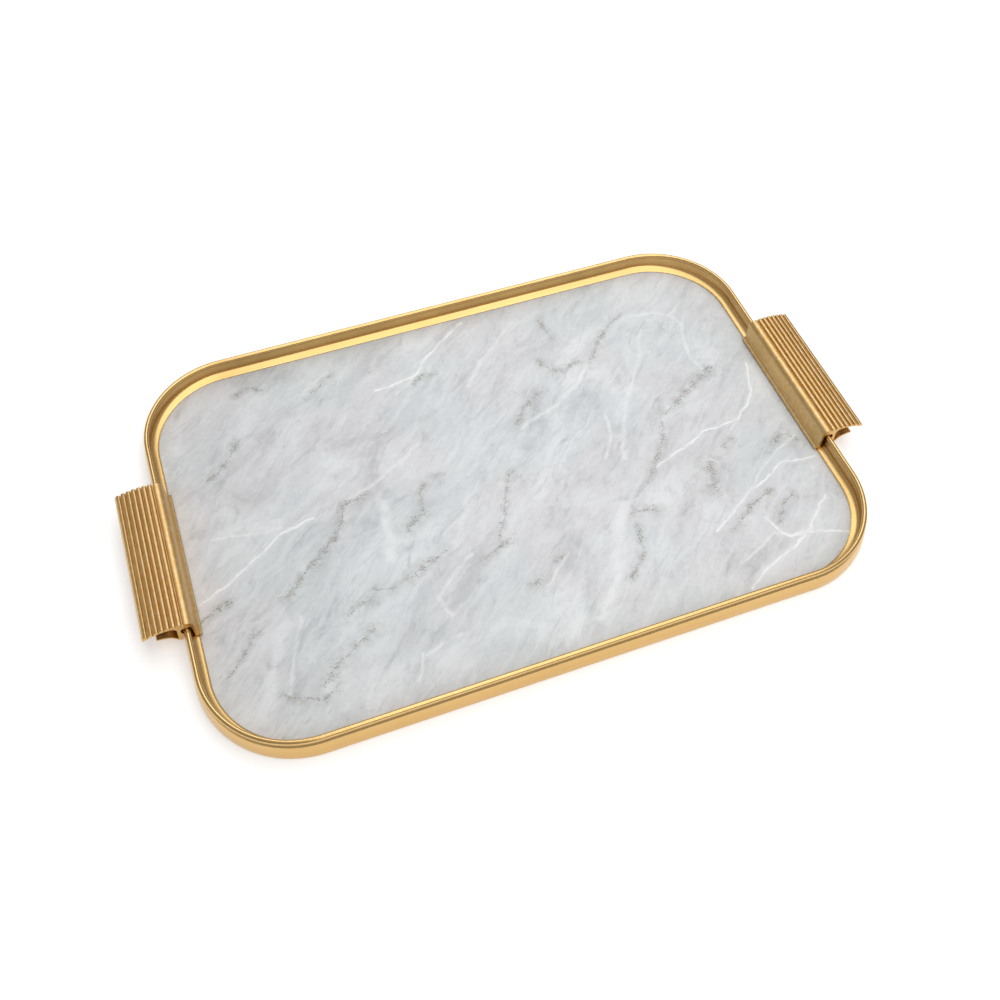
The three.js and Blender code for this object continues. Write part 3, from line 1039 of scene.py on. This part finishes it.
@dataclass
class Rim:
    """The bent aluminium rim, in two halves that meet under the handles."""

    sight: SightEdge
    material: Material
    flange: float = 0.8
    slot_depth: float = 7.0
    slot_top: float = 4.15
    wall_outer: float = 9.4
    joint_gap: float = 0.4
    bead: Point = (5.5, 15.6)
    bead_radius: float = 1.65
    bend_steps: int = 40
    names: dict[Half, tuple[str, str]] = field(
        default_factory=lambda: {
            Half.FRONT: ("rim_front_extrusion", "rim_front"),
            Half.REAR: ("rim_rear_extrusion", "rim_rear"),
        }
    )

    def build(self) -> None:
        """Builds both halves."""
        for half in Half:
            bm = self._half()
            turn = Matrix.Rotation(math.radians(half.value), 3, "Z")
            bmesh.ops.rotate(bm, cent=ZERO, matrix=turn, verts=bm.verts)
            mark_extrusion(bm, self.sight.unroll)
            make_piece(bm, *self.names[half], Slot.RIM, self.material)

    def outline(self) -> Section:
        """The rim's section: slot, flange, outside face, groove, bead, wall, cove and lip.

        Returns:
            The section, without its hollow.
        """
        section = Section()
        section.corners((0.05, self.slot_top), (self.slot_depth, self.slot_top))
        section.corners((self.slot_depth, self.flange), (0.6, self.flange), (0.6, 0.2))
        section.arc((0.8, 0.2), 0.2, 225, 270, 2)
        section.arc((self.wall_outer - 1, 1), 1, -90, 0, 8)
        section.curve((self.wall_outer, 2.2), (9.42, 5.6), (8.55, 8.9), (7.62, 11.75), 10)
        section.arc((6.95, 11.6), 0.7, 12, 62, 3)
        section.curve((7.1, 12.55), (6.75, 12.95), (6.4, 13.1), (6.35, 13.55), 5)
        section.arc(self.bead, self.bead_radius, -58, 233, 28)
        section.curve((4.58, 13.85), (4.52, 12.5), (4.42, 8.6), (4.4, 7.3), 4)
        section.curve((4.36, 7.0), (4.1, 6.35), (2.4, 5.55), (0.5, 4.85), 8)
        section.arc((0.22, 4.43), 0.2, 95, 190, 4)
        return section

    def chamber(self) -> Section:
        """The hollow in the rim's wall, which takes the joining keys."""
        return Section().corners((5.6, 5.6), (5.6, 11.6), (6.5, 11.6), (6.95, 10.6), (7.3, 5.6))

    def _half(self) -> BMesh:
        """The front half: straight, bend, straight, bend, straight, with its two sawn ends.

        Returns:
            The half's bmesh, in metres.
        """
        bend_x = (self.sight.half_length - self.sight.corner) * MM
        bend_y = (self.sight.half_width - self.sight.corner) * MM
        gap = self.joint_gap / 2 * MM
        bm = bmesh.new()

        def place(out: float, up: float) -> Vector:
            """A place on the right side of the tray, at the joint."""
            return Vector(((self.sight.half_length + out) * MM, -gap, up * MM))

        start = ring(bm, self.outline().points, place) + ring(bm, self.chamber().points, place)
        end = self._straight(bm, start, Vector((0.0, gap - bend_y, 0.0)))
        end = self._bend(bm, end, Vector((bend_x, -bend_y, 0.0)))
        end = self._straight(bm, end, Vector((-2 * bend_x, 0.0, 0.0)))
        end = self._bend(bm, end, Vector((-bend_x, -bend_y, 0.0)))
        end = self._straight(bm, end, Vector((0.0, bend_y - gap, 0.0)))
        sawn = [bmesh.ops.triangle_fill(bm, use_beauty=True, edges=cut)["geom"] for cut in (start, end)]
        caps = {face for geometry in sawn for face in of_type(geometry, BMFace)}
        bmesh.ops.recalc_face_normals(bm, faces=bm.faces)
        shade_by_angle(bm)
        mark_edges(bm, caps)
        return bm

    def _straight(self, bm: BMesh, edges: list[BMEdge], run: Vector) -> list[BMEdge]:
        """Extrudes the section straight.

        Args:
            bm: the bmesh.
            edges: the section's edges at the end so far.
            run: how far the new stretch goes, in metres.

        Returns:
            The section's edges at the new end.
        """
        geometry = bmesh.ops.extrude_edge_only(bm, edges=edges)["geom"]
        bmesh.ops.translate(bm, vec=run, verts=of_type(geometry, BMVert))
        return of_type(geometry, BMEdge)

    def _bend(self, bm: BMesh, edges: list[BMEdge], centre: Vector) -> list[BMEdge]:
        """Spins the section a quarter turn clockwise.

        Args:
            bm: the bmesh.
            edges: the section's edges at the end so far.
            centre: the centre of the bend, in metres.

        Returns:
            The section's edges at the new end.
        """
        geometry = bmesh.ops.spin(
            bm,
            geom=edges,
            cent=centre,
            axis=(0.0, 0.0, 1.0),
            dvec=ZERO,
            angle=-math.pi / 2,
            steps=self.bend_steps,
            use_merge=False,
            use_duplicate=False,
        )["geom_last"]
        return of_type(geometry, BMEdge)


@dataclass
class JoiningKeys:
    """The steel strips in the rim's hollow, across the joints of its halves."""

    sight: SightEdge
    material: Material
    length: float = 70.0
    thickness: float = 0.8
    height: float = 4.4
    out: float = 6.3  # middle of the strip, out from the sight edge
    bottom: float = 5.9
    corner: float = 0.9
    ease: float = 0.1
    names: dict[Side, tuple[str, str]] = field(
        default_factory=lambda: {
            Side.LEFT: ("joining_strip_left", "joint_key_left"),
            Side.RIGHT: ("joining_strip_right", "joint_key_right"),
        }
    )

    def build(self) -> None:
        """Builds both strips, each cut from a plate with round corners and stood on edge."""
        for side in Side:
            size = Vector((self.length, self.height, self.thickness))
            bm = rounded_plate(size, Vector(ZERO), self.corner, 6, self.ease)
            for axis in "XZ":
                quarter = Matrix.Rotation(math.pi / 2, 3, axis)
                bmesh.ops.rotate(bm, cent=ZERO, matrix=quarter, verts=bm.verts)
            x = side.value * (self.sight.half_length + self.out)
            move = Vector((x, 0.0, self.bottom + self.height / 2)) * MM
            bmesh.ops.translate(bm, vec=move, verts=bm.verts)
            make_piece(bm, *self.names[side], Slot.KEY, self.material)


@dataclass
class Handles:
    """The two ribbed handles that are pressed over the rim."""

    sight: SightEdge
    material: Material
    length: float = 106.0
    deburr: float = 0.15
    leg_inner: float = 0.6
    leg_outer: float = 2.5
    seat: float = 17.65
    roll: Point = (5.0, 18.0)
    roll_radius: float = 4.4
    crest_apex: Point = (12.5, 23.1)
    crest_radius: float = 52.0
    belly_apex: Point = (15.0, 20.6)
    belly_radius: float = 33.0
    belly_flats: int = 14
    wing_tip: float = 31.3
    tip_nose: float = 0.7
    ribs: int = 7
    rib_pitch: float = 3.43
    first_groove: float = 6.8
    groove_depth: float = 1.9
    groove_half: float = 0.48
    floor_half: float = 0.12
    rib_flats: int = 14
    rib_fall: float = 0.72
    rib_roundness: float = 0.96
    web_outer: float = 11.1
    web_fillet: float = 3.5
    scroll_thickness: float = 1.1
    slides: dict[Side, float] = field(default_factory=lambda: {Side.LEFT: -1.0, Side.RIGHT: -2.2})
    names: dict[Side, tuple[str, str]] = field(
        default_factory=lambda: {
            Side.LEFT: ("handle_left_extrusion", "handle_left"),
            Side.RIGHT: ("handle_right_extrusion", "handle_right"),
        }
    )

    def build(self) -> None:
        """Builds both handles, each cut from the same extrusion."""
        for side in Side:
            bm = self._bar()
            turn = Matrix.Rotation(0.0 if side is Side.RIGHT else math.pi, 3, "Z")
            bmesh.ops.rotate(bm, cent=ZERO, matrix=turn, verts=bm.verts)
            bmesh.ops.translate(bm, vec=(0.0, self.slides[side] * MM, 0.0), verts=bm.verts)
            mark_extrusion(bm, self._unroll)
            make_piece(bm, *self.names[side], Slot.HANDLE, self.material)

    def _unroll(self, place: Vector) -> Vector:
        """Along, out and up of a place on a handle, in mm."""
        return Vector((place.y, abs(place.x) - self.sight.half_length, place.z))

    def _crest(self, out: float, drop: float) -> Point:
        """A point on the arch of the rib tops, or below it.

        Args:
            out: how far out it is.
            drop: how far below the arch it is.

        Returns:
            The point.
        """
        reach = out - self.crest_apex[0]
        arch = math.sqrt(self.crest_radius**2 - reach**2) - self.crest_radius
        return out, self.crest_apex[1] + arch - drop

    def _ribbed_top(self) -> list[Point]:
        """The ribbed top of the wing, outwards: each groove, then the round rib beyond it.

        Returns:
            The points of the top.
        """
        top = Section()
        half = self.rib_pitch / 2
        for rib in range(self.ribs):
            groove = self.first_groove + rib * self.rib_pitch
            ridge = groove + half
            top.corners(self._crest(groove - self.floor_half, self.groove_depth))
            top.corners(self._crest(groove + self.floor_half, self.groove_depth))
            for step in range(self.rib_flats + 1):
                across = 2 * step / self.rib_flats - 1
                fall = self.rib_fall * (1 - math.sqrt(1 - (self.rib_roundness * across) ** 2))
                top.corners(self._crest(ridge + across * (half - self.groove_half), fall))
        return top.points

    def _belly(self) -> list[Point]:
        """The wing's plain underside, from the web's fillet out to the tip.

        Returns:
            The points of the underside.
        """
        first = self.web_outer + self.web_fillet
        last = self.wing_tip - self.tip_nose
        points = []
        for i in range(self.belly_flats + 1):
            out = first + (last - first) * i / self.belly_flats
            arch = math.sqrt(self.belly_radius**2 - (out - self.belly_apex[0]) ** 2) - self.belly_radius
            points.append((out, self.belly_apex[1] + arch))
        return points

    def _scroll(self) -> list[Point]:
        """The curved flange that leaves the web's foot and sweeps out and up below the wing.

        Returns:
            The points of its lower side, its nose and its upper side.
        """
        route = Section().curve((10.2, 6.4), (11.9, 7.1), (12.8, 8.6), (14.4, 10.6), 6).points[:-1]
        route += Section().curve((14.4, 10.6), (16.4, 12.5), (19.8, 13.1), (23.3, 13.4), 12).points
        half = self.scroll_thickness / 2
        upper: list[Point] = []
        lower: list[Point] = []
        for i, (out, up) in enumerate(route):
            ahead, behind = route[min(i + 1, len(route) - 1)], route[max(i - 1, 0)]
            run = Vector((ahead[0] - behind[0], ahead[1] - behind[1])).normalized()
            upper.append((out - run.y * half, up + run.x * half))
            lower.append((out + run.y * half, up - run.x * half))
        tip = route[-1]
        angle = math.degrees(math.atan2(lower[-1][1] - tip[1], lower[-1][0] - tip[0]))
        nose = Section().arc(tip, half, angle, angle + 180, 8).points
        return lower[:-1] + nose + [p for p in reversed(upper[:-1]) if p[0] > self.web_outer + 0.3]

    def outline(self) -> Section:
        """The handle's section, from the inside of the leg round to its toe on the board.

        Returns:
            The section.
        """
        seat, leg = self.seat, self.leg_outer
        section = Section().corners((leg, 5.9), (leg, seat - 1)).arc((leg + 1, seat - 1), 1, 170, 100, 4)
        section.corners((leg + 1, seat), (7.3, seat))
        section.curve((8.2, 17.4), (9.0, 16.9), (9.25, 14.6), (9.1, 13.4), 5)
        section.corners((7.95, 12.3), (8.6, 9.8), (9.35, 6.9), (9.75, 6.0))
        section.points.extend(self._scroll())
        fillet = (self.web_outer + self.web_fillet, self.belly_apex[1] - self.web_fillet)
        section.arc(fillet, self.web_fillet, 180, 96, 8)
        section.points.extend(self._belly())
        section.curve((30.9, 17.05), (31.3, 16.95), (31.38, 17.9), (31.2, 18.25), 4)
        section.points.extend(reversed(self._ribbed_top()))
        section.arc(self.roll, self.roll_radius, 78, 180, 20)
        section.curve((self.leg_inner, 8.8), (0.55, 7.2), (-0.5, 6.5), (-1.4, 6.15), 6)
        section.corners((-1.72, 5.85), (-1.75, 5.4), (-1.62, 4.8), (-1.45, 4.7), (-0.4, 4.95))
        return section

    def _bar(self) -> BMesh:
        """A length of the extrusion on the right of the tray, with both sawn ends eased.

        Returns:
            Its bmesh, in metres.
        """
        half = self.length / 2 - self.deburr
        bm = bmesh.new()

        def place(out: float, up: float) -> Vector:
            """A place at the rear end of the handle."""
            return Vector((self.sight.half_length + out, half, up)) * MM

        edges = ring(bm, self.outline().points, place)
        bm.faces.new([edge.verts[0] for edge in edges])
        geometry = bmesh.ops.extrude_face_region(bm, geom=bm.faces[:], use_keep_orig=True)["geom"]
        bmesh.ops.translate(bm, vec=(0.0, -2 * half * MM, 0.0), verts=of_type(geometry, BMVert))
        bmesh.ops.recalc_face_normals(bm, faces=bm.faces)
        ends = [face for face in bm.faces if abs(face.normal.y) > 0.9]
        bmesh.ops.inset_individual(
            bm, faces=ends, thickness=self.deburr * MM, depth=self.deburr * MM, use_even_offset=True
        )
        shade_by_angle(bm)
        mark_edges(bm, set(ends))
        bmesh.ops.triangulate(bm, faces=ends)
        return bm


@dataclass
class Studio:
    """The pale floor, the soft light and the camera."""

    floor_size: float = 12.0
    floor_glow: float = 0.32
    world: float = 0.36
    softbox_place: tuple[float, float, float] = (0.36, 0.0, 1.5)  # in metres
    softbox_size: tuple[float, float] = (1.3, 4.4)  # along X and Y, in metres
    softbox_power: float = 29.5  # in watts
    camera_place: tuple[float, float, float] = (-140.47, -376.99, 571.90)  # in mm
    azimuth: float = 20.66  # the camera's heading, from +Y towards +X, in degrees
    depression: float = 56.26
    roll: float = 0.90
    lens: float = 37.68

    def build(self) -> None:
        """Sets the studio up round the tray."""
        self._floor()
        self._world()
        self._softbox()
        self._camera()

    def _floor(self) -> None:
        """A plain pale floor with the resting plane as its top."""
        bm = bmesh.new()
        bmesh.ops.create_grid(bm, x_segments=4, y_segments=4, size=self.floor_size / 2)
        mesh = bpy.data.meshes.new("studio_floor")
        bm.to_mesh(mesh)
        bm.free()
        floor = bpy.data.objects.new("studio_floor", mesh)
        material, _, shader = new_material("studio_floor_paint")
        shader.inputs["Base Color"].default_value = (0.93, 0.93, 0.93, 1.0)
        shader.inputs["Emission Color"].default_value = (1.0, 1.0, 1.0, 1.0)
        shader.inputs["Emission Strength"].default_value = self.floor_glow
        shader.inputs["Roughness"].default_value = 0.85
        mesh.materials.append(material)
        bpy.context.scene.collection.objects.link(floor)
        floor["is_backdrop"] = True

    def _world(self) -> None:
        """Even light from all round."""
        world = bpy.data.worlds.new("studio_world")
        world.use_nodes = True
        background = world.node_tree.nodes["Background"]
        background.inputs["Color"].default_value = (1.0, 1.0, 1.0, 1.0)
        background.inputs["Strength"].default_value = self.world
        bpy.context.scene.world = world

    def _softbox(self) -> None:
        """A long soft light that hangs level above the tray and shines down."""
        data = bpy.data.lights.new("overhead_softbox", "AREA")
        data.shape = "RECTANGLE"
        data.size, data.size_y = self.softbox_size
        data.energy = self.softbox_power
        light = bpy.data.objects.new("overhead_softbox", data)
        light.location = self.softbox_place
        bpy.context.scene.collection.objects.link(light)

    def _camera(self) -> None:
        """The camera, above the front left corner and looking down."""
        data = bpy.data.cameras.new("camera")
        data.lens = self.lens
        data.sensor_width = 36.0
        camera = bpy.data.objects.new("camera", data)
        heading = Matrix.Rotation(-math.radians(self.azimuth), 4, "Z")
        tilt = Matrix.Rotation(math.radians(90 - self.depression), 4, "X")
        roll = Matrix.Rotation(math.radians(self.roll), 4, "Z")
        camera.matrix_world = Matrix.Translation(Vector(self.camera_place) * MM) @ heading @ tilt @ roll
        bpy.context.scene.collection.objects.link(camera)
        bpy.context.scene.camera = camera
        bpy.context.scene.view_settings.view_transform = "Standard"


def write_sizes() -> None:
    """Writes the CAD box and the visual model's box: lowest and highest corners, in metres."""
    boxes = {"cad": CAD_BOUNDS, "visual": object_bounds()}
    plain = {name: [[float(v) for v in corner] for corner in box] for name, box in boxes.items()}
    LOG.info("sizes: %s", plain)


def main() -> None:
    """Builds the tray, sub-assembly by sub-assembly, and the studio round it."""
    logging.basicConfig(level=logging.INFO, format="%(name)s: %(message)s")
    sight = SightEdge()
    effects = Effects()
    Studio().build()
    Board(sight, effects).build()
    Rim(sight, AnodisedGold("rim_gold_anodised").build(effects)).build()
    JoiningKeys(sight, ZincPlate().build(effects)).build()
    # The handles' edges take less of the pale wear and painted highlight.
    satin = AnodisedGold("handle_gold_anodised", roughness=0.41, lines=1.1, wear_and_highlight=0.25, relief=0.05)
    Handles(sight, satin.build(effects)).build()
    write_sizes()


if __name__ == "__main__":
    main()
